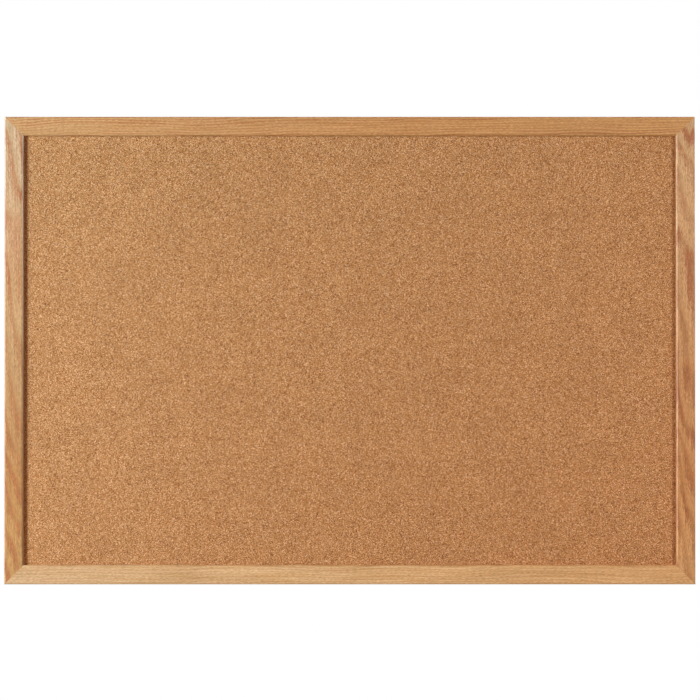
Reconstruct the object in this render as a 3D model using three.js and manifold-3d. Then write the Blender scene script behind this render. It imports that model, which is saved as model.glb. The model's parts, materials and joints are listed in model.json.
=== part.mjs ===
// A framed cork notice board that hangs on a wall from two D-ring hangers.
// Lengths are in millimetres. X runs across the board, Z is up and the front faces -Y.
// The origin is the centre of the plane that the frame's back lies in.

import * as THREE from 'three';
import { mergeVertices } from 'three/addons/utils/BufferGeometryUtils.js';
import Module from 'manifold-3d';

const wasm = await Module();
wasm.setup();

// Board
const boardWidth = 914.4;
const boardHeight = 619;

// Panel: a cork sheet glued face to face on a fibreboard core
const corkThickness = 3;
const coreThickness = 9;
const panelClearance = 0.8; // from the panel's edge to the wall of the rabbet
const panelRecess = 1.6; // from the panel's back to the frame's back

// Frame moulding: a lip in front, and behind it the rabbet that the panel drops into
const backWidth = 18.4;
const rabbetWidth = 7;
const lipThickness = 5.4;
const outerArris = 0.8;
const innerArris = 3.2;
const mitreClearance = 0.2; // that each end stops short of the mitre, along the rail

// V-nail: a bent strip pressed across a mitre from the back, with hooked ends
const vNailHeight = 10;
const vNailThickness = 0.5;
const vNailLeg = 6;
const vNailHook = 1;
const vNailSink = 0.3;
const vNailPlaceShares = [0.28, 0.64]; // of the back's width, measured in from both edges
const vNailNames = ['outer', 'inner'];

// Framer's point: a flat tab driven into the rabbet wall, with a lifted tail
const pointWidth = 5.5;
const pointThickness = 0.6;
const pointDrive = 5;
const pointReach = 9;
const pointTipShare = 0.8; // of the driven length that tapers to the tip
const pointTailShare = 0.3; // of the reach that is lifted
const pointLiftShare = 0.5; // of the room left behind the tab
const pointsOnRail = 5;
const pointsOnStile = 3;

// Hanger strap: a strip folded over the ring's bar, its two leaves one on the other
const strapThickness = 0.8;
const strapWidth = 10;
const leafGap = 0.15;
const eyeClearance = 0.3; // round the ring's bar
const eyeCloseAngle = THREE.MathUtils.degToRad(50); // that the eye wraps past its top
const hangerDrop = 70; // from the frame's top edge to the ring's bar

// D-ring: one wire, bent so that its ends butt inside the eye
const wireDiameter = 2.2;
const ringCornerShare = 1.1; // of the wire's diameter, the radius of the two corners
const ringSide = 3; // the straight length of each side
const ringPlay = 0.3; // between the strap's edge and the corner's bend
const ringRestGap = 0.3; // between the hanging ring and the strap
const buttGap = 0.4;

// Pan-head screw
const screwDiameter = 3;
const screwLength = 12;
const screwTip = 3;
const screwHeadDiameter = 5.8;
const screwHeadHeight = 2;
const screwHeadRimShare = 0.35; // of the head's height that is upright at its rim
const screwPitch = 13; // from the first screw of a strap to the second
const screwRingGap = 0.8; // between the hanging ring and the first head
const recessSpan = 3;
const recessWidth = 0.8;
const recessDepth = 1.1;

// Wall bumper
const bumperDiameter = 12;
const bumperThickness = 4.8;
const bumperRound = 1.2;
const bumperTaper = 0.6; // that the radius loses from the base to the top

// Clearances and steps
const fit = 0.2; // round what is driven into the oak
const overrun = 1; // that a cut runs past the face it opens
const arcSteps = 6;
const roundSteps = 24;
const eyeSteps = 14;
const ringSteps = 64;
const wireSides = 10;

// Sizes worked out from the ones above
const faceWidth = backWidth + rabbetWidth;
const mouldingDepth = lipThickness + corkThickness + coreThickness + panelRecess;
const panelWidth = boardWidth - 2 * (backWidth + panelClearance);
const panelHeight = boardHeight - 2 * (backWidth + panelClearance);
const corkFront = lipThickness - mouldingDepth;
const corkBack = corkFront + corkThickness;
const wireRadius = wireDiameter / 2;
const eyeInnerRadius = wireRadius + eyeClearance;
const eyeMidRadius = eyeInnerRadius + strapThickness / 2;
const barHeight = eyeInnerRadius + strapThickness;
const eyeTop = barHeight + eyeInnerRadius + strapThickness;
const strapTop = 2 * strapThickness + leafGap;
const ringCorner = wireDiameter * ringCornerShare;
const ringHalfWidth = strapWidth / 2 + ringPlay + ringCorner;
const ringReach = ringCorner + ringSide + ringHalfWidth;
const ringLean = Math.asin((strapTop + ringRestGap + wireRadius - barHeight) / ringReach);
const firstScrew = ringReach + wireRadius + screwRingGap + screwHeadDiameter / 2;
const secondScrew = firstScrew + screwPitch;
const strapLength = secondScrew + strapWidth / 2;
const bumperRise = backWidth + bumperDiameter; // clear of the mitre and its nails

// Materials
const oak = new THREE.MeshStandardMaterial({ color: '#c79766', roughness: 0.5, metalness: 0 });
const cork = new THREE.MeshStandardMaterial({ color: '#b98559', roughness: 0.9, metalness: 0 });
const fibreboard = new THREE.MeshStandardMaterial({ color: '#a68a68', roughness: 0.95, metalness: 0 });
const zincPlate = new THREE.MeshStandardMaterial({ color: '#c3c6c8', roughness: 0.35, metalness: 1 });
const nailSteel = new THREE.MeshStandardMaterial({ color: '#8f9296', roughness: 0.45, metalness: 1 });
const rubber = new THREE.MeshStandardMaterial({ color: '#2e2d2c', roughness: 0.85, metalness: 0 });

// Solids
function toSolid(geometry) {
  const bare = geometry.clone();
  bare.deleteAttribute('normal');
  bare.deleteAttribute('uv');
  const welded = mergeVertices(bare);
  return new wasm.Manifold(new wasm.Mesh({
    numProp: 3,
    vertProperties: new Float32Array(welded.attributes.position.array),
    triVerts: new Uint32Array(welded.index.array),
  }));
}

function toGeometry(solid) {
  const mesh = solid.getMesh();
  const geometry = new THREE.BufferGeometry();
  geometry.setAttribute('position', new THREE.BufferAttribute(mesh.vertProperties, 3));
  geometry.setIndex(new THREE.BufferAttribute(mesh.triVerts, 1));
  geometry.computeVertexNormals();
  return geometry;
}

function common(first, second) {
  return toGeometry(toSolid(first).intersect(toSolid(second)));
}

// Shapes
// An outline of (down, out) points, extruded sideways: down is -Z, out is +Y and the width runs along X
function extrudeAcross(outline, width) {
  const geometry = new THREE.ExtrudeGeometry(outline, {
    depth: width,
    bevelEnabled: false,
    curveSegments: arcSteps,
  });
  geometry.translate(0, 0, -width / 2);
  geometry.rotateY(Math.PI / 2);
  return geometry;
}

// An outline of (across, up) points, extruded along Y from one depth to another
function extrudeThrough(outline, fromY, toY) {
  const geometry = new THREE.ExtrudeGeometry(outline, {
    depth: toY - fromY,
    bevelEnabled: false,
    curveSegments: arcSteps,
  });
  geometry.rotateX(Math.PI / 2);
  geometry.translate(0, toY, 0);
  return geometry;
}

// The outline of a strip of sheet metal bent along a path, grown on every side by an allowance
function stripOutline(path, thickness, allowance) {
  const half = thickness / 2 + allowance;
  const runs = path.slice(1).map((point, i) => point.clone().sub(path[i]).normalize());
  const left = [];
  const right = [];
  path.forEach((point, i) => {
    const before = runs[Math.max(i - 1, 0)];
    const after = runs[Math.min(i, runs.length - 1)];
    const side = new THREE.Vector2(-before.y - after.y, before.x + after.x);
    side.multiplyScalar(half / (1 + before.dot(after)));
    const end = new THREE.Vector2();
    if (i === 0) end.copy(after).multiplyScalar(-allowance);
    if (i === path.length - 1) end.copy(before).multiplyScalar(allowance);
    left.push(point.clone().add(side).add(end));
    right.unshift(point.clone().sub(side).add(end));
  });
  return new THREE.Shape([...left, ...right]);
}

// Frame
function mouldingProfile() {
  const front = -mouldingDepth;
  const profile = new THREE.Shape();
  profile.moveTo(0, 0);
  profile.lineTo(0, front + outerArris);
  profile.absarc(outerArris, front + outerArris, outerArris, Math.PI, 1.5 * Math.PI, false);
  profile.lineTo(faceWidth - innerArris, front);
  profile.absarc(faceWidth - innerArris, front + innerArris, innerArris, 1.5 * Math.PI, 2 * Math.PI, false);
  profile.lineTo(faceWidth, front + lipThickness);
  profile.lineTo(backWidth, front + lipThickness);
  profile.lineTo(backWidth, 0);
  return profile;
}

// A length of moulding whose ends are slid along to 45 degrees, further the further in they lie
function railGeometry(length) {
  const geometry = extrudeAcross(mouldingProfile(), length);
  const place = geometry.attributes.position;
  for (let i = 0; i < place.count; i += 1) {
    const along = place.getX(i);
    const inward = -place.getZ(i);
    place.setX(i, along - Math.sign(along) * (inward + mitreClearance));
  }
  return geometry;
}

// Panel
function sheetGeometry(thickness) {
  return new THREE.BoxGeometry(panelWidth, thickness, panelHeight);
}

// V-nail, seen from the corner it belongs to: a leg beside each rail's edge, and a hook on each leg
function vNailGeometry(allowance, headroom) {
  const path = [
    new THREE.Vector2(-vNailLeg, vNailHook),
    new THREE.Vector2(-vNailLeg, 0),
    new THREE.Vector2(0, 0),
    new THREE.Vector2(0, -vNailLeg),
    new THREE.Vector2(vNailHook, -vNailLeg),
  ];
  const outline = stripOutline(path, vNailThickness, allowance);
  return extrudeThrough(outline, -vNailSink - vNailHeight - allowance, headroom - vNailSink);
}

// Framer's point, with the rabbet wall at zero: the tip goes up into the oak, the tail lies on the panel
function pointGeometry(allowance) {
  const middle = pointThickness / 2;
  const lift = (panelRecess - pointThickness) * pointLiftShare;
  const path = [
    new THREE.Vector2(-pointDrive, middle),
    new THREE.Vector2(pointReach * (1 - pointTailShare), middle),
    new THREE.Vector2(pointReach, middle + lift),
  ];
  const half = pointWidth / 2 + allowance;
  const shoulder = pointDrive * (1 - pointTipShare);
  const plan = new THREE.Shape();
  plan.moveTo(-half, -pointReach - overrun);
  plan.lineTo(half, -pointReach - overrun);
  plan.lineTo(half, shoulder);
  plan.lineTo(0, pointDrive + allowance);
  plan.lineTo(-half, shoulder);
  const side = extrudeAcross(stripOutline(path, pointThickness, allowance), pointWidth + 2 * overrun);
  return common(side, extrudeThrough(plan, -overrun, panelRecess + overrun));
}

// Hanger strap, with the ring's bar at zero: up the lower leaf, round the bar and down the upper leaf
function strapGeometry() {
  const lower = strapThickness / 2;
  const upper = lower + strapThickness + leafGap;
  const path = [new THREE.Vector2(strapLength, lower)];
  for (let i = 0; i <= eyeSteps; i += 1) {
    const angle = ((Math.PI + eyeCloseAngle) * i) / eyeSteps;
    const down = -eyeMidRadius * Math.sin(angle);
    const out = barHeight - eyeMidRadius * Math.cos(angle);
    path.push(new THREE.Vector2(down, out));
  }
  const leave = path[path.length - 1];
  path.push(new THREE.Vector2(leave.x + (leave.y - upper) / Math.tan(eyeCloseAngle), upper));
  path.push(new THREE.Vector2(strapLength, upper));
  const plan = new THREE.Shape();
  plan.moveTo(strapWidth / 2, -secondScrew);
  plan.lineTo(strapWidth / 2, eyeTop);
  plan.lineTo(-strapWidth / 2, eyeTop);
  plan.lineTo(-strapWidth / 2, -secondScrew);
  plan.absarc(0, -secondScrew, strapWidth / 2, Math.PI, 2 * Math.PI, false);
  const folded = extrudeAcross(stripOutline(path, strapThickness, 0), strapWidth + 2 * overrun);
  return common(folded, extrudeThrough(plan, -overrun, eyeTop + overrun));
}

// D-ring, with its bar along X at zero and the round of the D hanging down
class WirePath extends THREE.Curve {
  constructor(flat) {
    super();
    this.flat = flat;
  }

  getPoint(t, target = new THREE.Vector3()) {
    const point = this.flat.getPointAt(t);
    return target.set(point.x, 0, -point.y);
  }
}

function ringGeometry() {
  const flat = new THREE.Path();
  const cornerX = ringHalfWidth - ringCorner;
  const roundFrom = ringCorner + ringSide;
  flat.moveTo(buttGap / 2, 0);
  flat.lineTo(cornerX, 0);
  flat.absarc(cornerX, ringCorner, ringCorner, -Math.PI / 2, 0, false);
  flat.lineTo(ringHalfWidth, roundFrom);
  flat.absarc(0, roundFrom, ringHalfWidth, 0, Math.PI, false);
  flat.lineTo(-ringHalfWidth, ringCorner);
  flat.absarc(-cornerX, ringCorner, ringCorner, Math.PI, 1.5 * Math.PI, false);
  flat.lineTo(-buttGap / 2, 0);
  const section = new THREE.Shape();
  section.absarc(0, 0, wireRadius, 0, 2 * Math.PI, false);
  return new THREE.ExtrudeGeometry(section, {
    steps: ringSteps,
    curveSegments: wireSides / 2,
    extrudePath: new WirePath(flat),
  });
}

// Screw, with the underside of its head at zero and its tip in the oak
function screwGeometry() {
  const shank = screwDiameter / 2;
  const head = screwHeadDiameter / 2;
  const rim = screwHeadHeight * screwHeadRimShare;
  const profile = [
    new THREE.Vector2(0, -screwLength),
    new THREE.Vector2(shank, screwTip - screwLength),
    new THREE.Vector2(shank, 0),
    new THREE.Vector2(head, 0),
  ];
  for (let i = 0; i <= arcSteps; i += 1) {
    const angle = ((Math.PI / 2) * i) / arcSteps;
    const out = i === arcSteps ? 0 : head * Math.cos(angle);
    profile.push(new THREE.Vector2(out, rim + (screwHeadHeight - rim) * Math.sin(angle)));
  }
  const blank = toSolid(new THREE.LatheGeometry(profile, roundSteps));
  const slot = new THREE.BoxGeometry(recessSpan, 2 * recessDepth, recessWidth);
  slot.translate(0, screwHeadHeight, 0);
  const crossSlot = slot.clone().rotateY(Math.PI / 2);
  return toGeometry(blank.subtract(toSolid(slot).add(toSolid(crossSlot))));
}

function screwHoleGeometry() {
  const hole = new THREE.CylinderGeometry(
    screwDiameter / 2 + fit,
    screwDiameter / 2 + fit,
    screwLength + fit + overrun,
    roundSteps,
  );
  return hole.translate(0, (overrun - screwLength - fit) / 2, 0);
}

// Wall bumper: a low dome with a flat top, stuck on by its base
function bumperGeometry() {
  const base = bumperDiameter / 2;
  const top = base - bumperTaper;
  const profile = [new THREE.Vector2(0, 0), new THREE.Vector2(base, 0)];
  for (let i = 0; i <= arcSteps; i += 1) {
    const angle = ((Math.PI / 2) * i) / arcSteps;
    const out = top - bumperRound * (1 - Math.cos(angle));
    profile.push(new THREE.Vector2(out, bumperThickness - bumperRound * (1 - Math.sin(angle))));
  }
  profile.push(new THREE.Vector2(0, bumperThickness));
  return new THREE.LatheGeometry(profile, roundSteps);
}

// Assembly
const board = new THREE.Group();

function place(name, geometry, material, parent) {
  const mesh = new THREE.Mesh(geometry, material);
  mesh.name = name;
  parent.add(mesh);
  return mesh;
}

// Cuts the room that a fastener needs out of what it goes into, wherever the two stand
function makeRoom(holder, fastener, room) {
  board.updateMatrixWorld(true);
  const toHolder = holder.matrixWorld.clone().invert().multiply(fastener.matrixWorld);
  const tool = room.clone().applyMatrix4(toHolder);
  holder.geometry = toGeometry(toSolid(holder.geometry).subtract(toSolid(tool)));
}

const corkSheet = place('cork_sheet', sheetGeometry(corkThickness), cork, board);
corkSheet.position.y = corkFront + corkThickness / 2;
const core = place('fibreboard_core', sheetGeometry(coreThickness), fibreboard, board);
core.position.y = corkBack + coreThickness / 2;

// The four sides, clockwise from the front: each is drawn as the top one and turned into place
const sides = [
  { rail: 'top_rail', points: 'point_top', length: boardWidth, reach: boardHeight / 2, count: pointsOnRail },
  { rail: 'right_stile', points: 'point_right', length: boardHeight, reach: boardWidth / 2, count: pointsOnStile },
  { rail: 'bottom_rail', points: 'point_bottom', length: boardWidth, reach: boardHeight / 2, count: pointsOnRail },
  { rail: 'left_stile', points: 'point_left', length: boardHeight, reach: boardWidth / 2, count: pointsOnStile },
];
const rails = {};
sides.forEach((side, turn) => {
  const turned = new THREE.Group();
  turned.rotation.y = (turn * Math.PI) / 2;
  board.add(turned);
  const edge = new THREE.Group();
  edge.position.z = side.reach;
  turned.add(edge);
  const rail = place(side.rail, railGeometry(side.length), oak, edge);
  rails[side.rail] = rail;
  const pitch = (side.length - 2 * (backWidth + panelClearance)) / side.count;
  for (let i = 0; i < side.count; i += 1) {
    const point = place(`${side.points}_${i + 1}`, pointGeometry(0), nailSteel, edge);
    point.position.set((i + 0.5 - side.count / 2) * pitch, -panelRecess, -backWidth);
    makeRoom(rail, point, pointGeometry(fit));
  }
});

// The four corners, in the same order: each lies between one side and the next
const corners = [
  { name: 'top_right', across: boardWidth / 2, up: boardHeight / 2 },
  { name: 'bottom_right', across: boardWidth / 2, up: -boardHeight / 2 },
  { name: 'bottom_left', across: -boardWidth / 2, up: -boardHeight / 2 },
  { name: 'top_left', across: -boardWidth / 2, up: boardHeight / 2 },
];
corners.forEach((corner, turn) => {
  const turned = new THREE.Group();
  turned.position.set(corner.across, 0, corner.up);
  turned.rotation.y = (turn * Math.PI) / 2;
  board.add(turned);
  const joined = [sides[turn], sides[(turn + 1) % sides.length]];
  vNailPlaceShares.forEach((share, i) => {
    const inward = backWidth * share;
    const nail = place(`v_nail_${corner.name}_${vNailNames[i]}`, vNailGeometry(0, 0), nailSteel, turned);
    nail.position.set(-inward, 0, -inward);
    joined.forEach((side) => makeRoom(rails[side.rail], nail, vNailGeometry(fit, vNailSink + overrun)));
  });
});

// The hangers and the bumpers, on the middle of each stile's back
const stiles = [
  { side: 'left', across: backWidth / 2 - boardWidth / 2 },
  { side: 'right', across: boardWidth / 2 - backWidth / 2 },
];
stiles.forEach(({ side, across }) => {
  const stile = rails[`${side}_stile`];
  const hanger = new THREE.Group();
  hanger.position.set(across, 0, boardHeight / 2 - hangerDrop);
  board.add(hanger);
  const strap = place(`hanger_strap_${side}`, strapGeometry(), zincPlate, hanger);
  const ring = place(`d_ring_${side}`, ringGeometry(), zincPlate, hanger);
  ring.position.y = barHeight;
  ring.rotation.x = ringLean;
  [firstScrew, secondScrew].forEach((down, i) => {
    const screw = place(`hanger_screw_${side}_${i + 1}`, screwGeometry(), zincPlate, hanger);
    screw.position.set(0, strapTop, -down);
    makeRoom(strap, screw, screwHoleGeometry());
    makeRoom(stile, screw, screwHoleGeometry());
  });
  const bumper = place(`bumper_${side}`, bumperGeometry(), rubber, board);
  bumper.position.set(across, 0, bumperRise - boardHeight / 2);
});

export default board;
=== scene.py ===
# %% [markdown]
# # A cork notice board in an oak frame
#
# The board is a sheet of pressed cork on a fibreboard core. Four mitred oak rails hold its
# edges in a rabbet. Its back has the hardware that a framer uses: corrugated nails across the
# mitres, flat points that hold the panel in, two hangers with D-rings, and two bumpers that
# keep the frame off the wall. This script gives them their surfaces.

# %% The frame
import json
from math import asin, cos, pi, radians, sin

import bmesh
import bpy
from mathutils import Matrix, Vector, noise


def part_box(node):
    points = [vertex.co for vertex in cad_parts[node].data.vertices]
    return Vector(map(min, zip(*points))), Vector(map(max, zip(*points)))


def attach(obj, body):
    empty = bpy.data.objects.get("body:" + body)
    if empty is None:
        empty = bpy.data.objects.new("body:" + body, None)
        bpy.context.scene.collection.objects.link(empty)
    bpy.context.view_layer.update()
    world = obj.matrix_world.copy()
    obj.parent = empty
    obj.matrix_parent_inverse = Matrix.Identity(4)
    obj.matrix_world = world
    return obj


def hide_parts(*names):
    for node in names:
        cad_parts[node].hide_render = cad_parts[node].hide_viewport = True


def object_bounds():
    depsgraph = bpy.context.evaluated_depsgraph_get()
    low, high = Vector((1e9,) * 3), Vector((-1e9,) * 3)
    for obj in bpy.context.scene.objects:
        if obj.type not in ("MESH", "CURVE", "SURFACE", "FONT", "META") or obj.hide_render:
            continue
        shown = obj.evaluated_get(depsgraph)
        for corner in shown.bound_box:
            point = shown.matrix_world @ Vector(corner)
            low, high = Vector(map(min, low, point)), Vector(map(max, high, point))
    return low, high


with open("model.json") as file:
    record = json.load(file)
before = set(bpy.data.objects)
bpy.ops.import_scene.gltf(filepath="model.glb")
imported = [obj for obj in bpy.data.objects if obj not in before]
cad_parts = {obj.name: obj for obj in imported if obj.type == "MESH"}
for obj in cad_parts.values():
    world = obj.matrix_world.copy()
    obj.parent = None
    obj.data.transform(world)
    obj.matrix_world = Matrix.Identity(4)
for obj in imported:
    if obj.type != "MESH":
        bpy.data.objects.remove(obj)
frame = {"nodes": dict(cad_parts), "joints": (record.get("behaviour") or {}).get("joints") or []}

MM = 0.001
cad_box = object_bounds()
size = cad_box[1] - cad_box[0]
print("board", [round(length / MM, 1) for length in size], "mm, parts", len(frame["nodes"]))

# %% [markdown]
# ## The camera
#
# The photograph looks straight at the board, from about its own height. All four outer edges
# were measured in the picture, and one distance, one lens and one small tilt explain them
# together: the board is a little narrower at its top than at its bottom, so the camera is
# slightly below its middle.

# %% Camera
PHOTO_SIDE = 700
PHOTO_FOCAL = 2039.9
PHOTO_CENTRE = (349.8, 350.36)
CAMERA_DISTANCE = 2.699
CAMERA_RISE = radians(-0.35)

aim = Vector((0, cad_box[0].y, 0))
towards_camera = Vector((0, -cos(CAMERA_RISE), sin(CAMERA_RISE)))

camera_data = bpy.data.cameras.new("camera")
camera_data.lens = camera_data.sensor_width * PHOTO_FOCAL / PHOTO_SIDE
camera_data.shift_x = (PHOTO_SIDE / 2 - PHOTO_CENTRE[0]) / PHOTO_SIDE
camera_data.shift_y = (PHOTO_CENTRE[1] - PHOTO_SIDE / 2) / PHOTO_SIDE
camera = bpy.data.objects.new("camera", camera_data)
camera.location = aim + towards_camera * CAMERA_DISTANCE
camera.rotation_euler = (-towards_camera).to_track_quat("-Z", "Y").to_euler()
bpy.context.collection.objects.link(camera)
bpy.context.scene.camera = camera
print("lens", round(camera_data.lens, 1), "mm")

# %% [markdown]
# ## Colours and nodes
#
# Colours are picked as sRGB hex values, the way a paint chart gives them, and Blender's nodes
# want linear ones. One function turns them. A second one adds a node: its dictionary holds the
# node's own settings, the values of its sockets, and the sockets of other nodes that are linked
# into it. A third one lays coats over a base colour one after another, as a painter does.

# %% Colour and node helpers
bpy.context.scene.view_settings.view_transform = "Standard"


def linear(colour):
    """The linear RGBA of an sRGB hex colour."""
    shares = [int(colour[i : i + 2], 16) / 255 for i in (1, 3, 5)]
    return [s / 12.92 if s <= 0.04045 else ((s + 0.055) / 1.055) ** 2.4 for s in shares] + [1.0]


def set_stops(ramp, stops):
    """Gives a ramp its stops, each a place from 0 to 1 with a grey level or a colour."""
    while len(ramp.elements) < len(stops):
        ramp.elements.new(1.0)
    for element, (place, level) in zip(ramp.elements, stops):
        element.position = place
        element.color = linear(level) if isinstance(level, str) else (level, level, level, 1.0)


def add_node(tree, kind, values):
    """Adds a node. Values that are sockets are linked, stops fill its ramp, the rest is set."""
    node = tree.nodes.new("ShaderNode" + kind)
    for key, value in values.items():
        if isinstance(value, bpy.types.NodeSocket):
            tree.links.new(value, node.inputs[key])
        elif key == "stops":
            set_stops(node.color_ramp, value)
        elif isinstance(key, str) and hasattr(node, key):
            setattr(node, key, value)
        else:
            node.inputs[key].default_value = value
    return node


def layered(tree, base, coats):
    """The colour base with coats over it, each with its way of blending, factor and colour."""
    for blend, factor, coat in coats:
        values = {"data_type": "RGBA", "blend_type": blend, 0: factor, 6: base, 7: coat}
        base = add_node(tree, "Mix", values).outputs[2]
    return base


def new_material(name):
    """A material whose tree holds a Principled surface and its output."""
    material = bpy.data.materials.new(name)
    material.use_nodes = True
    tree = material.node_tree
    tree.nodes.clear()
    surface = add_node(tree, "BsdfPrincipled", {})
    add_node(tree, "OutputMaterial", {"Surface": surface.outputs["BSDF"]})
    return material, tree, surface


print("white is", linear("#ffffff"))

# %% [markdown]
# ## Light
#
# The shadow inside the left stile is wide and dark, the one inside the right stile is weak, and
# the one under the top rail is thin. So a tall softbox stands far to the left, a weaker one
# stands far to the right and a little higher, and hardly any light comes from elsewhere. Each
# lamp is given the share of plain daylight that it adds to a surface facing it, and its watts
# are worked out from that: a surface of colour 1 is white when all the shares that reach it add
# up to 1. The overhead lamp and the two rear ones never reach the front. They light the top and
# the back for the other views.

# %% Lamps
FRONT, BACK, TOP = (0, -1, 0), (0, 1, 0), (0, 0, 1)


def softbox(name, azimuth, elevation, distance, width, height, share, facing):
    """An area lamp aimed at the board's middle. Azimuth 0 is in front, 90 to the right."""
    side, rise = radians(azimuth), radians(elevation)
    out = Vector((sin(side) * cos(rise), -cos(side) * cos(rise), sin(rise)))
    lamp = bpy.data.lights.new(name, "AREA")
    lamp.shape = "RECTANGLE"
    lamp.size, lamp.size_y = width, height
    lamp.energy = share * 4 * pi * distance**2 / out.dot(Vector(facing))
    holder = bpy.data.objects.new(name, lamp)
    holder.location = out * distance
    holder.rotation_euler = (-out).to_track_quat("-Z", "Y").to_euler()
    holder.visible_camera = False
    bpy.context.collection.objects.link(holder)
    return lamp.energy


lamps = {
    # azimuth and elevation in degrees, distance, width and height in metres, share, side lit
    "left_key": (-59, 4, 2.6, 0.8, 1.3, 0.65, FRONT),
    "right_fill": (55, 12, 2.6, 0.8, 0.6, 0.26, FRONT),
    "overhead": (180, 62, 3.2, 2.4, 1.6, 0.35, TOP),
    "rear_key": (140, 20, 4, 1.6, 1.6, 0.45, BACK),
    "rear_fill": (200, 12, 4, 1.6, 1.6, 0.3, BACK),
}
watts = {name: softbox(name, *settings) for name, settings in lamps.items()}
print("watts", {name: round(value) for name, value in watts.items()})

# %% [markdown]
# The world gives the last share, the same from all sides. The photograph's background is pure
# white. A world that bright would light the board too, so only the camera, reflections and
# glass see it white.

# %% World
AMBIENT_SHARE = 0.03

world = bpy.data.worlds.new("white_studio")
world.use_nodes = True
world.node_tree.nodes.clear()
bpy.context.scene.world = world


def seen_white(tree):
    """1 for rays from the camera, a reflection or a glass, and 0 for those that only light."""
    ray = add_node(tree, "LightPath", {})
    gloss = {0: ray.outputs["Is Glossy Ray"], 1: ray.outputs["Is Transmission Ray"]}
    either = add_node(tree, "Math", {"operation": "MAXIMUM", **gloss})
    both = {0: ray.outputs["Is Camera Ray"], 1: either.outputs[0]}
    return add_node(tree, "Math", {"operation": "MAXIMUM", **both}).outputs[0]


world_tree = world.node_tree
white_ray = seen_white(world_tree)
levels = {"Value": white_ray, "To Min": AMBIENT_SHARE, "To Max": 1.0}
strength = add_node(world_tree, "MapRange", levels).outputs["Result"]
sky = add_node(world_tree, "Background", {"Color": linear("#ffffff"), "Strength": strength})
add_node(world_tree, "OutputWorld", {"Surface": sky.outputs["Background"]})
print("ambient share", AMBIENT_SHARE)

# %% [markdown]
# ## The floor
#
# The board hangs, so the floor lies some way below it and only catches its soft shadow. It is
# one flat face, far wider than any view of the board.

# %% Floor
FLOOR_DROP = 0.34
FLOOR_SIDE = 12.0

floor_mesh = bpy.data.meshes.new("floor")
bm = bmesh.new()
bmesh.ops.create_grid(bm, x_segments=1, y_segments=1, size=FLOOR_SIDE / 2)
bmesh.ops.translate(bm, verts=bm.verts, vec=(0, 0, cad_box[0].z - FLOOR_DROP))
bm.to_mesh(floor_mesh)
bm.free()
floor = bpy.data.objects.new("floor", floor_mesh)
bpy.context.collection.objects.link(floor)
print("floor at", round((cad_box[0].z - FLOOR_DROP) / MM), "mm")

# %% [markdown]
# The camera sees the floor as white paper, but the light that it throws up on the board is that
# of a grey floor. Towards its rim it fades into the same white as the world. So it has no edge
# in any view, and the part of it that the photograph's view could see is white. From below it
# can be seen through.

# %% Floor paper
FADE_FROM = 0.5
FADE_TO = 1.1
FLOOR_BOUNCE = "#8c8c8c"
FLOOR_PAPER = "#f2f2f0"

paper, tree, surface = new_material("white_paper_floor")
seen_directly = add_node(tree, "LightPath", {}).outputs["Is Camera Ray"]
shade = layered(tree, linear(FLOOR_BOUNCE), [("MIX", seen_directly, linear(FLOOR_PAPER))])
tree.links.new(shade, surface.inputs["Base Color"])
surface.inputs["Roughness"].default_value = 0.9
place = add_node(tree, "TexCoord", {}).outputs["Object"]
flat = add_node(tree, "VectorMath", {"operation": "MULTIPLY", 0: place, 1: (1, 1, 0)})
reach = add_node(tree, "VectorMath", {"operation": "LENGTH", 0: flat.outputs["Vector"]})
rim = {"Value": reach.outputs["Value"], "From Min": FADE_FROM, "From Max": FADE_TO}
fade = add_node(tree, "MapRange", {"interpolation_type": "SMOOTHSTEP", **rim})
faded = {0: fade.outputs["Result"], 1: seen_white(tree)}
share = add_node(tree, "Math", {"operation": "MULTIPLY", **faded})
glow = add_node(tree, "Emission", {"Color": linear("#ffffff"), "Strength": 1.0})
lit = {"Fac": share.outputs[0], 1: surface.outputs["BSDF"], 2: glow.outputs["Emission"]}
mixed = add_node(tree, "MixShader", lit)
clear = add_node(tree, "BsdfTransparent", {})
below = add_node(tree, "NewGeometry", {}).outputs["Backfacing"]
seen = {0: below, 1: add_node(tree, "LightPath", {}).outputs["Is Camera Ray"]}
see_through = add_node(tree, "Math", {"operation": "MULTIPLY", **seen})
open_below = {"Fac": see_through.outputs[0], 1: mixed.outputs[0], 2: clear.outputs["BSDF"]}
whole = add_node(tree, "MixShader", open_below)
tree.links.new(whole.outputs[0], tree.nodes["Material Output"].inputs["Surface"])
floor_mesh.materials.append(paper)
print("floor all white from", FADE_TO, "m outwards")

# %% [markdown]
# ## Oak
#
# The rails are red oak, planed to a moulding, sanded and finished with a satin lacquer.
# Everything in it is long along the grain and narrow across it: the fibres, the pores, the
# streaks of red. A photo of wood would show its seams and the wrong scale. Here one function
# makes noise whose patches have real sizes, in millimetres along the grain, in depth and
# across. Another pushes places about by a noise, which bends what would be straight.

# %% Grain
def grain_noise(tree, vector, size, detail=2.0):
    """Noise with patches of this size in millimetres along the grain, in depth and across."""
    stretch = tuple(1 / length for length in size)
    scaled = add_node(tree, "VectorMath", {"operation": "MULTIPLY", 0: vector, 1: stretch})
    values = {"Vector": scaled.outputs["Vector"], "Scale": 1.0, "Detail": detail}
    return add_node(tree, "TexNoise", values)


def pushed(tree, place, drift, reach):
    """The place, moved along each axis by a noise's colour, by half of reach at most."""
    centred = add_node(tree, "VectorMath", {"operation": "SUBTRACT", 0: drift, 1: (0.5,) * 3})
    moved = {"operation": "MULTIPLY_ADD", 0: centred.outputs[0], 1: reach, 2: place}
    return add_node(tree, "VectorMath", moved).outputs["Vector"]


print("noise is stretched along X and pushed both ways")

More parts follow.
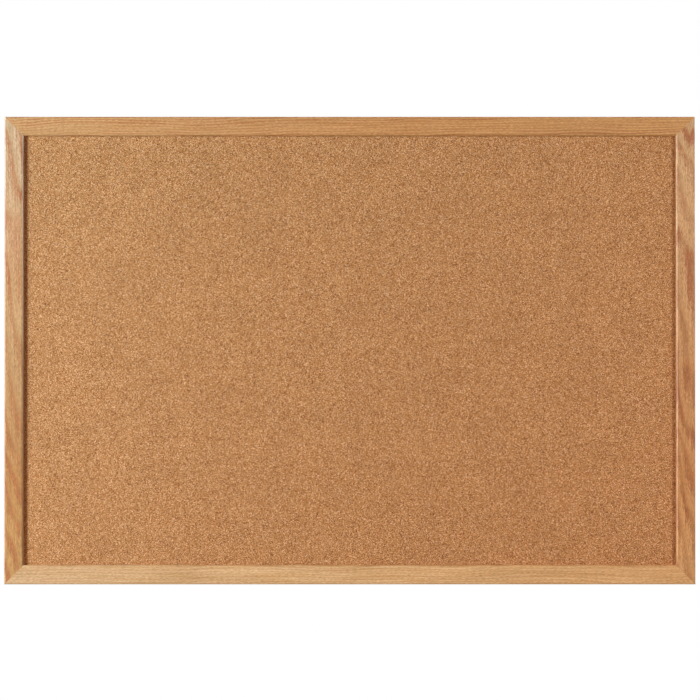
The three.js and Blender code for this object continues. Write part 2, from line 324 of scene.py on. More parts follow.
# %% [markdown]
# ## Growth rings
#
# A tree grows a ring each year: first a band of wide pores, which shows as brown dashes along
# the grain, and then dense smooth wood. A board cut beside the heart of the log shows the rings
# as straight lines, and one cut over it shows them as slanting arches. So the pattern is worked
# out as it grows. A point's distance from the heart, a line that leans a little against the
# rail, gives its ring, and the place within the ring gives pores or smooth wood. Some years are
# wetter, so their bands are stronger.

# %% Growth rings
SWAY_SIZE = (170, 50, 50)
SWAY_REACH = 16
TORN_SHARE = 0.6
WEAKEST_YEAR = 0.5
STRONG_YEARS_FROM = 0.8
POROUS_BAND = [(0.0, 0.0), (0.08, 1.0), (0.36, 0.8), (0.58, 0.0), (1.0, 0.0)]


def growth_rings(tree, board, seeded, torn, heart, lean, ring_width):
    """How porous the wood is here, from 0 to 1. Torn roughens the edge of each band."""
    sway = grain_noise(tree, seeded, SWAY_SIZE, detail=1.0)
    swayed = pushed(tree, board, sway.outputs["Color"], (0, SWAY_REACH, SWAY_REACH))
    axis = {"Rotation": (0, lean[1], -lean[0]), "Location": (0, -heart[0], -heart[1])}
    grown = add_node(tree, "Mapping", {"Vector": swayed, **axis}).outputs["Vector"]
    spoke = add_node(tree, "VectorMath", {"operation": "MULTIPLY", 0: grown, 1: (0, 1, 1)})
    radius = add_node(tree, "VectorMath", {"operation": "LENGTH", 0: spoke.outputs["Vector"]})
    count = {0: radius.outputs["Value"], 1: 1 / ring_width}
    smooth_rings = add_node(tree, "Math", {"operation": "MULTIPLY", **count}).outputs[0]
    edged = {0: torn, 1: TORN_SHARE, 2: smooth_rings}
    rings = add_node(tree, "Math", {"operation": "MULTIPLY_ADD", **edged}).outputs[0]
    within = add_node(tree, "Math", {"operation": "FRACT", 0: rings}).outputs[0]
    year = add_node(tree, "Math", {"operation": "FLOOR", 0: rings}).outputs[0]
    good_year = add_node(tree, "TexWhiteNoise", {"noise_dimensions": "1D", "W": year})
    rain = {"Value": good_year.outputs["Value"], "From Max": STRONG_YEARS_FROM}
    smooth = {"interpolation_type": "SMOOTHSTEP", "To Min": WEAKEST_YEAR}
    weight = add_node(tree, "MapRange", {**smooth, **rain})
    band = add_node(tree, "ValToRGB", {"Fac": within, "stops": POROUS_BAND})
    both = {0: band.outputs["Color"], 1: weight.outputs["Result"]}
    return add_node(tree, "Math", {"operation": "MULTIPLY", **both}).outputs[0]


print("a ring sways", SWAY_REACH / 2, "mm each way at most")

# %% [markdown]
# ## Lacquer
#
# Lacquer lies on the wood as a thin clear coat and sinks into the open pores, which stay
# duller. It is sprayed on the face of the moulding. The outer side gets only a mist: the
# material finds that side by its normal, which points sideways and away from the board's
# middle.

# %% Lacquer
OAK_IOR = 1.5
SATIN_ROUGHNESS = 0.4
PORE_ROUGHNESS = 0.6
COAT_WEIGHT = 0.25
COAT_ROUGHNESS = 0.18
PLAIN_SHINE = 0.5
MIST_SHINE = 0.1
MIST_DULLNESS = 0.3
SIDEWAYS = (-0.5, -0.2)
OUTWARDS = (0.05, 0.1)
PORE_DEPTH = 0.1 * MM


def lacquer(tree, surface, place, pores, fibres):
    """Satin lacquer on the moulding's face, a dull mist on its outer side, and sunken pores.

    A face points sideways by its normal's Y, and outwards by how far along its normal it lies.
    """
    normal = add_node(tree, "TexCoord", {}).outputs["Normal"]
    to_front = add_node(tree, "SeparateXYZ", {"Vector": normal}).outputs["Y"]
    leaving = {"operation": "DOT_PRODUCT", 0: place, 1: normal}
    outwards = add_node(tree, "VectorMath", leaving).outputs["Value"]
    tests = []
    for value, (low, high) in ((to_front, SIDEWAYS), (outwards, OUTWARDS)):
        test = add_node(tree, "MapRange", {"Value": value, "From Min": low, "From Max": high})
        tests.append(test.outputs["Result"])
    both = {"operation": "MULTIPLY", 0: tests[0], 1: tests[1]}
    misted = add_node(tree, "Math", both).outputs[0]
    worn = {"Value": pores, "To Min": SATIN_ROUGHNESS, "To Max": PORE_ROUGHNESS}
    gloss = add_node(tree, "MapRange", worn).outputs["Result"]
    dulled = {0: misted, 1: MIST_DULLNESS, 2: gloss}
    roughness = add_node(tree, "Math", {"operation": "MULTIPLY_ADD", **dulled}).outputs[0]
    thinner = {"Value": misted, "To Min": COAT_WEIGHT, "To Max": 0.0}
    coat = add_node(tree, "MapRange", thinner).outputs["Result"]
    duller = {"Value": misted, "To Min": PLAIN_SHINE, "To Max": MIST_SHINE}
    shine = add_node(tree, "MapRange", duller).outputs["Result"]
    tree.links.new(roughness, surface.inputs["Roughness"])
    tree.links.new(coat, surface.inputs["Coat Weight"])
    tree.links.new(shine, surface.inputs["Specular IOR Level"])
    surface.inputs["IOR"].default_value = OAK_IOR
    surface.inputs["Coat Roughness"].default_value = COAT_ROUGHNESS
    relief = add_node(tree, "Math", {"operation": "SUBTRACT", 0: fibres, 1: pores}).outputs[0]
    bump = add_node(tree, "Bump", {"Height": relief, "Strength": 0.5, "Distance": PORE_DEPTH})
    tree.links.new(bump.outputs["Normal"], surface.inputs["Normal"])


print("coat", COAT_WEIGHT, "roughness", SATIN_ROUGHNESS, "to", PORE_ROUGHNESS)

# %% [markdown]
# ## The figure of the wood
#
# Real pores are about 0.3 mm wide. That is finer than the picture can show, so they are drawn
# at half a millimetre, and only where the wood is porous. The wood's own colour lies lowest.
# Over it come pale clouds, the russet and brown of the porous bands, the light and dark of the
# fibres, long lines, and the pores.

# %% Figure
STREAK_SIZE = (60, 16, 12)
CLOUD_SIZE = (130, 40, 22)
PORE_SIZE = (3, 0.5, 0.5)
PORE_EDGES = [(0.5, 0.0), (0.64, 1.0)]
PORES_FROM = 0.3

STREAK_SHARES = [(0.4, 0.25), (0.56, 1.0)]
CLOUD_TINTS = [(0.3, "#f0eeeb"), (0.7, "#ffffff")]
FIBRE_SHADES = [(0.3, 0.68), (0.7, 1.28)]
FIBRE_TINTS = [(0.3, "#fffde4"), (0.7, "#ffffff")]
LINE_TINTS = [(0.3, "#ece3cc"), (0.7, "#ffffff")]
EARLY_SHARE = 0.2
OAK_RUSSET = "#92450f"
OAK_EARLY = "#a26629"
OAK_PORE = "#6b4015"


def open_pores(tree, seeded, early):
    """Short dashes along the grain, from 0 to 1, where the wood is porous."""
    dashes = grain_noise(tree, seeded, PORE_SIZE).outputs["Fac"]
    dash = add_node(tree, "ValToRGB", {"Fac": dashes, "stops": PORE_EDGES})
    porous = add_node(tree, "MapRange", {"Value": early, "To Min": PORES_FROM, "To Max": 1.0})
    both = {0: dash.outputs["Color"], 1: porous.outputs["Result"]}
    return add_node(tree, "Math", {"operation": "MULTIPLY", **both}).outputs[0]


def figured(tree, base, seeded, fibres, lines, early, pores, russet, grain):
    """The base colour with the wood's clouds, bands, fibres, lines and pores laid over it."""
    clouds = grain_noise(tree, seeded, CLOUD_SIZE, detail=1.0).outputs["Fac"]
    streaks = grain_noise(tree, seeded, STREAK_SIZE).outputs["Fac"]
    streak = add_node(tree, "ValToRGB", {"Fac": streaks, "stops": STREAK_SHARES})
    both = {0: early, 1: streak.outputs["Color"]}
    streaked = add_node(tree, "Math", {"operation": "MULTIPLY", **both}).outputs[0]

    factors, tints = [], []
    early_share = EARLY_SHARE + EARLY_SHARE * russet
    for pattern, share in ((streaked, russet), (early, early_share), (pores, grain)):
        values = {"operation": "MULTIPLY", 0: pattern, 1: share}
        factors.append(add_node(tree, "Math", values).outputs[0])
    for pattern, stops in (
        (clouds, CLOUD_TINTS),
        (fibres, FIBRE_SHADES),
        (fibres, FIBRE_TINTS),
        (lines, LINE_TINTS),
    ):
        values = {"Fac": pattern, "stops": stops}
        tints.append(add_node(tree, "ValToRGB", values).outputs["Color"])
    red, brown, dark = factors
    cloud, shade, warmth, line = tints
    coats = [
        ("MULTIPLY", 1.0, cloud),
        ("MIX", red, linear(OAK_RUSSET)),
        ("MIX", brown, linear(OAK_EARLY)),
        ("MULTIPLY", 1.0, shade),
        ("MULTIPLY", 1.0, warmth),
        ("MULTIPLY", 1.0, line),
        ("MIX", dark, linear(OAK_PORE)),
    ]
    return layered(tree, base, coats)


print("pores", PORE_SIZE[0], "by", PORE_SIZE[1], "mm")

# %% [markdown]
# ## The oak of one rail
#
# The grain of a rail runs along it, so the coordinates of an upright stile are turned. Then they
# are counted in millimetres from the rail's own middle. The wood's colour drifts from one end
# to the other, and a shift of the noise makes sure that no two rails show the same figure.

# %% Oak of one rail
FIBRE_SIZE = (4.5, 0.8, 0.8)
LINE_SIZE = (70, 1.8, 1.8)


def oak(node, heart, lean, ring_width, tones, russet, grain, shift):
    """Lacquered red oak for one rail.

    Heart is where the log's middle lies from the rail's own middle, in depth and across, in
    millimetres, lean its slope in those directions, and ring_width the growth of one year.
    Tones are the rail's colours from its left or bottom end, at 0, to its other end, at 1.
    Russet is how red its porous bands are, grain how dark its pores are, and shift moves its
    noise away from that of the other rails.
    """
    material, tree, surface = new_material("lacquered_oak_" + node)
    low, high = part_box(node)
    upright = high.z - low.z > high.x - low.x
    middle = (low + high) / 2 / MM
    place = add_node(tree, "TexCoord", {}).outputs["Object"]
    in_board = {
        "Rotation": (0, radians(90) if upright else 0, 0),
        "Scale": (1 / MM,) * 3,
        "Location": (0, -middle.y, middle.x if upright else -middle.z),
    }
    board = add_node(tree, "Mapping", {"Vector": place, **in_board}).outputs["Vector"]
    own = {"operation": "ADD", 0: board, 1: (shift,) * 3}
    seeded = add_node(tree, "VectorMath", own).outputs["Vector"]
    half = (high.z if upright else high.x) / MM
    along = add_node(tree, "SeparateXYZ", {"Vector": board}).outputs["X"]
    drift = add_node(tree, "MapRange", {"Value": along, "From Min": -half, "From Max": half})
    base = add_node(tree, "ValToRGB", {"Fac": drift.outputs["Result"], "stops": tones})

    fibres = grain_noise(tree, seeded, FIBRE_SIZE, detail=4.0).outputs["Fac"]
    lines = grain_noise(tree, seeded, LINE_SIZE, detail=1.0).outputs["Fac"]
    torn = add_node(tree, "Math", {"operation": "ADD", 0: lines, 1: fibres}).outputs[0]
    early = growth_rings(tree, board, seeded, torn, heart, lean, ring_width)
    pores = open_pores(tree, seeded, early)
    wood = base.outputs["Color"]
    colour = figured(tree, wood, seeded, fibres, lines, early, pores, russet, grain)
    tree.links.new(colour, surface.inputs["Base Color"])
    lacquer(tree, surface, place, pores, fibres)
    return material


print("fibres", FIBRE_SIZE[0], "mm and lines", LINE_SIZE[0], "mm long")

# %% [markdown]
# Each rail is its own board, with its own heart and tones. The top and bottom rails were cut
# beside the heart and show nearly straight lines. The stiles were cut over it and show slanting
# bands.

# %% Oak boards
oak_boards = {
    "top_rail": oak(
        "top_rail",
        heart=(20, 120),
        lean=(0.01, 0.01),
        ring_width=3.2,
        tones=[(0.0, "#b49168"), (0.25, "#bb9064"), (0.6, "#b98857"), (1.0, "#bc8b57")],
        russet=0.6,
        grain=0.7,
        shift=0,
    ),
    "bottom_rail": oak(
        "bottom_rail",
        heart=(40, -90),
        lean=(0.01, 0.01),
        ring_width=3.2,
        tones=[(0.0, "#c1a280"), (1.0, "#d2a06f")],
        russet=0.15,
        grain=0.3,
        shift=311,
    ),
    "left_stile": oak(
        "left_stile",
        heart=(72, -25),
        lean=(-0.05, 0.03),
        ring_width=4.4,
        tones=[
            (0.0, "#b08855"),
            (0.22, "#aa7b47"),
            (0.5, "#af8c65"),
            (0.72, "#b18c6b"),
            (1.0, "#bea892"),
        ],
        russet=0.85,
        grain=0.8,
        shift=702,
    ),
    "right_stile": oak(
        "right_stile",
        heart=(57.5, -18),
        lean=(-0.06, 0.05),
        ring_width=5.0,
        tones=[(0.0, "#c6905f"), (0.25, "#bb7f4b"), (1.0, "#c49c77")],
        russet=1.0,
        grain=0.9,
        shift=1105,
    ),
}
print("oak boards", sorted(oak_boards))

# %% [markdown]
# ## The rails
#
# A CAD mesh is a heap of loose triangles with flat shading. A copy of it is merged into one
# skin, and flat patches become whole faces. Then the long corners left by the cutter lose a
# hair's breadth, as sandpaper takes it, because a perfectly sharp edge never catches the light.
# The mitres stay sharp. Glue and nails pull a real mitre tight, so each end face is slid along
# its rail until only a glue line is left. The Weighted Normal modifier keeps the wide faces
# flat while the rounded ones shade smoothly.

# %% Copies of CAD parts
SHARP_ANGLE = radians(28)
FLAT_ANGLE = radians(0.5)
WELD = 0.002 * MM


def sharp_edges(bm):
    """The edges at which two faces meet in a sharp corner."""
    joined = [edge for edge in bm.edges if edge.is_manifold]
    return [edge for edge in joined if edge.calc_face_angle(0) > SHARP_ANGLE]


def merged_copy(node):
    """A bmesh of a CAD node's mesh, with its triangles merged into one skin of flat faces."""
    bm = bmesh.new()
    bm.from_mesh(frame["nodes"][node].data)
    bmesh.ops.remove_doubles(bm, verts=bm.verts, dist=WELD)
    bmesh.ops.dissolve_limit(bm, angle_limit=FLAT_ANGLE, verts=bm.verts, edges=bm.edges)
    return bm


def soften(bm, edges, width, segments=2):
    """Rounds these edges by a small width."""
    bmesh.ops.bevel(
        bm,
        geom=edges,
        offset=width,
        offset_type="OFFSET",
        affect="EDGES",
        segments=segments,
        profile=0.5,
        material=-1,
        clamp_overlap=True,
    )


def finished(bm, name, material, body, replaced):
    """Makes the bmesh a piece with smooth faces, sharp corners and weighted normals."""
    for face in bm.faces:
        face.smooth = True
    for edge in bm.edges:
        edge.smooth = edge.is_manifold and edge.calc_face_angle(0) < SHARP_ANGLE
    mesh = bpy.data.meshes.new(name)
    bm.to_mesh(mesh)
    bm.free()
    mesh.materials.append(material)
    piece = bpy.data.objects.new(name, mesh)
    bpy.context.collection.objects.link(piece)
    weighted = piece.modifiers.new("weighted_normals", "WEIGHTED_NORMAL")
    weighted.keep_sharp = True
    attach(piece, body)
    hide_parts(replaced)
    return piece


print("corners sharper than", round(SHARP_ANGLE, 2), "radians stay sharp")

# %% [markdown]
# Only the long edges of a rail are sanded, from mitre to mitre. The edges round its end faces
# are short, and the two rails that meet there were cut to close without a gap.

# %% Rails
SANDED_EDGE = 0.25 * MM
LONG_EDGE = 200 * MM
GLUE_LINE = 0.06 * MM
LOOSE_MITRE = 0.3 * MM


def close_mitres(bm):
    """Slides each end face along its rail until only a glue line is left between two rails."""
    for vertex in bm.verts:
        inwards = [cad_box[1][axis] - abs(vertex.co[axis]) for axis in (0, 2)]
        slack = abs(inwards[0] - inwards[1])
        axis = 0 if inwards[0] > inwards[1] else 2
        if slack < LOOSE_MITRE:
            shift = slack - GLUE_LINE / 2
            vertex.co[axis] += shift if vertex.co[axis] > 0 else -shift


for node, material in oak_boards.items():
    bm = merged_copy(node)
    close_mitres(bm)
    sanded = [edge for edge in sharp_edges(bm) if edge.calc_length() > LONG_EDGE]
    soften(bm, sanded, SANDED_EDGE)
    rail = finished(bm, "oak_" + node, material, "board", node)
    print(rail.name, len(rail.data.polygons), "faces")

# %% [markdown]
# ## Cork
#
# The sheet is agglomerated cork: bark ground to grains of about a millimetre, pressed with a
# little glue into a block, sliced and sanded. The single grains are far finer than a mesh can
# be, so they are cells of a Voronoi texture, and finer cells break each of them into crumbs.
# Noise pushes the cells about first, because bark breaks unevenly and straight seams would look
# like tiles.

# %% Cork grains
GRAIN_SIZE = 0.8 * MM
CRUMB_SIZE = 0.5 * MM
RAGGED_SIZE = 1.5 * MM
RAGGED_REACH = 0.8 * MM


def cork_cells(tree, place):
    """A random share for each grain, the distance to its seam, and a share for each crumb."""
    uneven = {"Vector": place, "Scale": 1 / RAGGED_SIZE, "Detail": 2.0}
    ragged = add_node(tree, "TexNoise", uneven)
    bent = pushed(tree, place, ragged.outputs["Color"], (RAGGED_REACH,) * 3)
    cells = {"Vector": bent, "Scale": 1 / GRAIN_SIZE}
    grains = add_node(tree, "TexVoronoi", cells)
    seams = add_node(tree, "TexVoronoi", {**cells, "feature": "DISTANCE_TO_EDGE"})
    crumbs = add_node(tree, "TexVoronoi", {"Vector": bent, "Scale": 1 / CRUMB_SIZE})
    grain = add_node(tree, "SeparateColor", {"Color": grains.outputs["Color"]}).outputs["Red"]
    crumb = add_node(tree, "SeparateColor", {"Color": crumbs.outputs["Color"]}).outputs["Red"]
    return grain, seams.outputs["Distance"], crumb


print("cork grains of", round(GRAIN_SIZE / MM, 1), "mm")

# %% [markdown]
# Each grain keeps its own tone, a few are dark bark, and the saw leaves small pits between
# them. A painted sheen makes the sheet less red towards its top left corner and less blue
# towards its bottom right. The strips along the stiles, where their shadows fall, are a
# deeper brown: painted shade.

# %% Cork material
PATCH_SIZE = 40 * MM
SEAM_DEPTH = 0.25 * MM
CRUMB_RELIEF = 0.5
SHEEN_SLOPE = 0.65
# Width, blur and colours of the painted shade in the strips along the stiles.
PAINTED_SHADE_WIDTH = 5.5 * MM
PAINTED_SHADE_BLUR = 1.5 * MM
LEFT_PAINTED_SHADE = "#fcd8be"
RIGHT_PAINTED_SHADE = "#f3e9e0"

CORK_TONES = [
    (0.0, "#542c14"),
    (0.08, "#7b4621"),
    (0.25, "#a26538"),
    (0.55, "#b57b4a"),
    (0.8, "#c79163"),
    (1.0, "#e4b28e"),
]
CRUMB_SHADES = [(0.0, 0.66), (0.5, 1.0), (1.0, 1.24)]
SEAM_TINTS = [(0.0, "#e2dace"), (0.1, "#ffffff")]
PATCH_SHADES = [(0.3, 0.965), (0.7, 1.035)]
# A painted sheen: less red towards the top left corner, less blue towards the bottom right.
PAINTED_SHEEN_TINTS = [(0.0, "#ecffff"), (1.0, "#fffcf4")]


def granulated_cork():
    """Sanded agglomerated cork, dull, mottled grain by grain."""
    material, tree, surface = new_material("sanded_agglomerated_cork")
    place = add_node(tree, "TexCoord", {}).outputs["Object"]
    grain, to_seam, crumb = cork_cells(tree, place)
    patchy = {"Vector": place, "Scale": 1 / PATCH_SIZE, "Detail": 1.0}
    clouds = add_node(tree, "TexNoise", patchy)
    # The painted sheen of the left lamp runs from the top left corner to the bottom right.
    slope = {"operation": "DOT_PRODUCT", 0: place, 1: (SHEEN_SLOPE, 0, -SHEEN_SLOPE)}
    corner = add_node(tree, "VectorMath", slope).outputs["Value"]
    centred = add_node(tree, "Math", {"operation": "ADD", 0: corner, 1: 0.5}).outputs[0]

    tints = []
    for pattern, stops in (
        (grain, CORK_TONES),
        (to_seam, SEAM_TINTS),
        (crumb, CRUMB_SHADES),
        (clouds.outputs["Fac"], PATCH_SHADES),
        (centred, PAINTED_SHEEN_TINTS),
    ):
        ramp = add_node(tree, "ValToRGB", {"Fac": pattern, "stops": stops})
        tints.append(ramp.outputs["Color"])
    tone, seam, fleck, patch, painted_sheen = tints
    coats = [("MULTIPLY", 1.0, tint) for tint in (fleck, seam, patch, painted_sheen)]
    # Painted shade: a deeper brown in the strips along both stiles, where their shadows fall.
    side = add_node(tree, "SeparateXYZ", {"Vector": place}).outputs["X"]
    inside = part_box("right_stile")[0].x - PAINTED_SHADE_WIDTH
    for way, brown in ((-1, LEFT_PAINTED_SHADE), (1, RIGHT_PAINTED_SHADE)):
        outwards = add_node(tree, "Math", {"operation": "MULTIPLY", 0: side, 1: way}).outputs[0]
        reach = {"Value": outwards, "From Min": inside, "From Max": inside + PAINTED_SHADE_BLUR}
        painted_shade = add_node(tree, "MapRange", {"interpolation_type": "SMOOTHSTEP", **reach})
        rim = [("MIX", painted_shade.outputs["Result"], linear(brown))]
        coats.append(("MULTIPLY", 1.0, layered(tree, linear("#ffffff"), rim)))
    tree.links.new(layered(tree, tone, coats), surface.inputs["Base Color"])

    surface.inputs["Roughness"].default_value = 0.6
    surface.inputs["Specular IOR Level"].default_value = 0.15
    raised = {"operation": "MULTIPLY_ADD", 0: crumb, 1: CRUMB_RELIEF, 2: grain}
    height = add_node(tree, "Math", raised).outputs[0]
    sunk = add_node(tree, "Math", {"operation": "MULTIPLY", 0: height, 1: seam}).outputs[0]
    bump = add_node(tree, "Bump", {"Height": sunk, "Strength": 0.5, "Distance": SEAM_DEPTH})
    tree.links.new(bump.outputs["Normal"], surface.inputs["Normal"])
    return material


cork = granulated_cork()
print("cork material", cork.name)

# %% [markdown]
# Both sheets of the panel are made by one function. A grid gives the face, and its rim is
# extruded back and closed by one plain face. Then each point of the grid sinks by a depth that
# noise chooses, so the sheet's swell and its deeper hollows are real geometry. It only ever
# sinks, and never grows out of its place between the frame's lips.

# %% Panel sheets
CORK_PITCH = 2.3 * MM
SWELL_SIZE = 60 * MM
SWELL_DEPTH = 0.06 * MM
PIT_SIZE = 5 * MM
PIT_DEPTH = 0.02 * MM


def verts_of(items):
    """The vertices among the items that a mesh operator returned."""
    return [item for item in items if isinstance(item, bmesh.types.BMVert)]


def relief_sheet(node, pitch, front, depth_at):
    """A sheet of the CAD node's size. The face that shows is a grid that depth_at sinks."""
    low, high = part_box(node)
    wide, tall = high.x - low.x, high.z - low.z
    thick = high.y - low.y
    bm = bmesh.new()
    columns, rows = round(wide / pitch), round(tall / pitch)
    bmesh.ops.create_grid(bm, x_segments=columns, y_segments=rows, size=0.5)
    bmesh.ops.scale(bm, verts=bm.verts, vec=(wide, tall, 1))
    face_turn = Matrix.Rotation(radians(90 if front else -90), 3, "X")
    bmesh.ops.rotate(bm, verts=bm.verts, cent=(0, 0, 0), matrix=face_turn)
    middle = (low + high) / 2
    bmesh.ops.translate(bm, verts=bm.verts, vec=(middle.x, low.y if front else high.y, middle.z))
    inner = [vertex for vertex in bm.verts if not vertex.is_boundary]
    rim = [edge for edge in bm.edges if edge.is_boundary]
    walls = bmesh.ops.extrude_edge_only(bm, edges=rim)["geom"]
    bmesh.ops.translate(bm, verts=verts_of(walls), vec=(0, thick if front else -thick, 0))
    bmesh.ops.edgeloop_fill(bm, edges=[edge for edge in bm.edges if edge.is_boundary])
    for vertex in inner:
        sink = depth_at(vertex.co)
        vertex.co.y += sink if front else -sink
    bmesh.ops.recalc_face_normals(bm, faces=bm.faces)
    return bm


def cork_hollow(point):
    """How deep the cork's face lies here: a slow swell and the coarser pits."""
    swell = noise.noise(point / SWELL_SIZE) * 0.5 + 0.5
    pit = max(0.0, noise.noise(point / PIT_SIZE))
    return SWELL_DEPTH * swell + PIT_DEPTH * pit


bm = relief_sheet("cork_sheet", CORK_PITCH, front=True, depth_at=cork_hollow)
cork_face = finished(bm, "granulated_cork_sheet", cork, "board", "cork_sheet")
print(cork_face.name, len(cork_face.data.polygons), "faces")

# %% [markdown]
# ## The fibreboard core
#
# Behind the cork lies softboard, wood pulp that is drained on a wire screen and dried. Its
# fibres show as a fine felt, and the screen leaves a faint square mark on the back, which is
# the side that shows. A wave texture of scale 1 repeats every pi / 10 metres, and its scale is
# worked out from that and the screen's real pitch.

# %% Fibreboard
SCREEN_PITCH = 2.4 * MM
FELT_SIZE = 1.6 * MM
FELT_DEPTH = 0.2 * MM
FELT_PATCH = 70 * MM
CORE_PITCH = 6 * MM
UNEVEN_SIZE = 45 * MM
UNEVEN_DEPTH = 0.25 * MM

FELT_TONES = [(0.3, "#8a6a47"), (0.5, "#a9875f"), (0.7, "#c0a077")]
FELT_SHADES = [(0.3, 0.9), (0.7, 1.06)]
SCREEN_SHADES = [(0.0, 1.0), (1.0, 0.9)]


def softboard():
    """Wet-laid wood fibre, dull and felted, with the mark of its screen."""
    material, tree, surface = new_material("wet_laid_softboard")
    place = add_node(tree, "TexCoord", {}).outputs["Object"]
    tangle = {"Scale": 1 / FELT_SIZE, "Detail": 4.0, "Distortion": 1.5}
    felt = add_node(tree, "TexNoise", {"Vector": place, **tangle}).outputs["Fac"]
    patchy = {"Vector": place, "Scale": 1 / FELT_PATCH, "Detail": 4.0}
    clouds = add_node(tree, "TexNoise", patchy)
    wires = []
    for direction in ("X", "Z"):
        weave = {"Scale": pi / (10 * SCREEN_PITCH), "Distortion": 0.4}
        values = {"bands_direction": direction, "Vector": place, **weave}
        wires.append(add_node(tree, "TexWave", values).outputs["Fac"])
    crossed = {"operation": "MULTIPLY", 0: wires[0], 1: wires[1]}
    screen = add_node(tree, "Math", crossed).outputs[0]
    tone = add_node(tree, "ValToRGB", {"Fac": felt, "stops": FELT_TONES}).outputs["Color"]
    cloud = add_node(tree, "ValToRGB", {"Fac": clouds.outputs["Fac"], "stops": FELT_SHADES})
    dent = add_node(tree, "ValToRGB", {"Fac": screen, "stops": SCREEN_SHADES})
    coats = [("MULTIPLY", 1.0, shade.outputs["Color"]) for shade in (cloud, dent)]
    tree.links.new(layered(tree, tone, coats), surface.inputs["Base Color"])
    surface.inputs["Roughness"].default_value = 0.95
    surface.inputs["Specular IOR Level"].default_value = 0.2
    height = add_node(tree, "Math", {"operation": "SUBTRACT", 0: felt, 1: screen}).outputs[0]
    bump = add_node(tree, "Bump", {"Height": height, "Strength": 0.6, "Distance": FELT_DEPTH})
    tree.links.new(bump.outputs["Normal"], surface.inputs["Normal"])
    return material


def softboard_hollow(point):
    """How deep the softboard's back lies here: it dries a little uneven."""
    return UNEVEN_DEPTH * (noise.noise(point / UNEVEN_SIZE) * 0.5 + 0.5)


bm = relief_sheet("fibreboard_core", CORE_PITCH, front=False, depth_at=softboard_hollow)
core = finished(bm, "softboard_core", softboard(), "board", "fibreboard_core")
print(core.name, len(core.data.polygons), "faces")

# %% [markdown]
# ## Metal
#
# The hangers, rings and screws are mild steel with a bright zinc plating, which is smooth,
# faintly blue and a little cloudy. The nails and points are bare steel strip, greyer and
# duller.

# %% Metal materials
SHEEN_CLOUD = 3 * MM
ROLLED_WIDTH = 0.25 * MM
ROLLED_LENGTH = 1 / 60
ROLLED_DEPTH = 0.02 * MM


def steel(name, dark, light, roughness):
    """A metal whose tone and gloss vary in small clouds, with fine lines from rolling."""
    material, tree, surface = new_material(name)
    place = add_node(tree, "TexCoord", {}).outputs["Object"]
    cloudy = {"Vector": place, "Scale": 1 / SHEEN_CLOUD, "Detail": 3.0}
    cloud = add_node(tree, "TexNoise", cloudy).outputs["Fac"]
    tone = add_node(tree, "ValToRGB", {"Fac": cloud, "stops": [(0.3, dark), (0.7, light)]})
    tree.links.new(tone.outputs["Color"], surface.inputs["Base Color"])
    surface.inputs["Metallic"].default_value = 1.0
    glossy, dull = roughness
    sheen = {"From Min": 0.3, "From Max": 0.7, "To Min": glossy, "To Max": dull}
    gloss = add_node(tree, "MapRange", {"Value": cloud, **sheen}).outputs["Result"]
    tree.links.new(gloss, surface.inputs["Roughness"])
    stretch = (1 / ROLLED_WIDTH, 1 / ROLLED_WIDTH, 1 / ROLLED_LENGTH)
    lines = add_node(tree, "VectorMath", {"operation": "MULTIPLY", 0: place, 1: stretch})
    rolled = add_node(tree, "TexNoise", {"Vector": lines.outputs["Vector"], "Scale": 1.0})
    ridges = {"Height": rolled.outputs["Fac"], "Strength": 0.15, "Distance": ROLLED_DEPTH}
    bump = add_node(tree, "Bump", ridges)
    tree.links.new(bump.outputs["Normal"], surface.inputs["Normal"])
    return material


zinc = steel("zinc_plated_steel", "#b4b9bf", "#d5d8da", roughness=(0.24, 0.36))
bare_steel = steel("bare_strip_steel", "#7f8184", "#a3a5a6", roughness=(0.38, 0.5))
print("metals", zinc.name, bare_steel.name)

# %% [markdown]
# ## Nails, points, straps and screws
#
# These parts are stamped or upset, so their real shapes are already in the CAD. Each gets the
# small rounding that shears and plating leave on its edges.

# %% Stamped parts
STAMPED_EDGE = 0.08 * MM

stamped = {
    "v_nail_": (bare_steel, "nail_steel"),
    "point_": (bare_steel, "nail_steel"),
    "hanger_strap_": (zinc, "zinc_plate"),
    "hanger_screw_": (zinc, "zinc_plate"),
}
for node in sorted(frame["nodes"]):
    for start, (material, slot) in stamped.items():
        if node.startswith(start):
            bm = merged_copy(node)
            soften(bm, sharp_edges(bm), STAMPED_EDGE)
            finished(bm, "steel_" + node, material, "board", node)

# %% [markdown]
# ## D-rings
#
# A D-ring is one length of round wire, bent until its two ends meet inside the strap's rolled
# eye. So it is made as the bender makes it: a circle is the wire's section, extrude runs it
# straight, and spin takes it round each bend.

# %% D-rings
WIRE_SIDES = 20
RING_CORNER = 2.42 * MM
RING_SIDE = 3 * MM
CORNER_STEPS = 8
BOW_STEPS = 32
BUTT_GAP = 0.4 * MM
RING_WELD = 0.001 * MM


def run_straight(bm, section, way):
    """Extrudes the section's rim along a straight way."""
    grown = bmesh.ops.extrude_edge_only(bm, edges=section)["geom"]
    verts = verts_of(grown)
    bmesh.ops.translate(bm, verts=verts, vec=way)
    end = set(verts)
    return [edge for edge in bm.edges if set(edge.verts) <= end]


def run_round(bm, section, centre, angle, steps):
    """Spins the section's rim about a bend's centre, in the ring's own flat plane."""
    verts = list({vertex for edge in section for vertex in edge.verts})
    bend = {"cent": centre, "axis": (0, 1, 0), "angle": angle, "steps": steps}
    spun = bmesh.ops.spin(bm, geom=verts + section, **bend)["geom_last"]
    return [item for item in spun if isinstance(item, bmesh.types.BMEdge)]


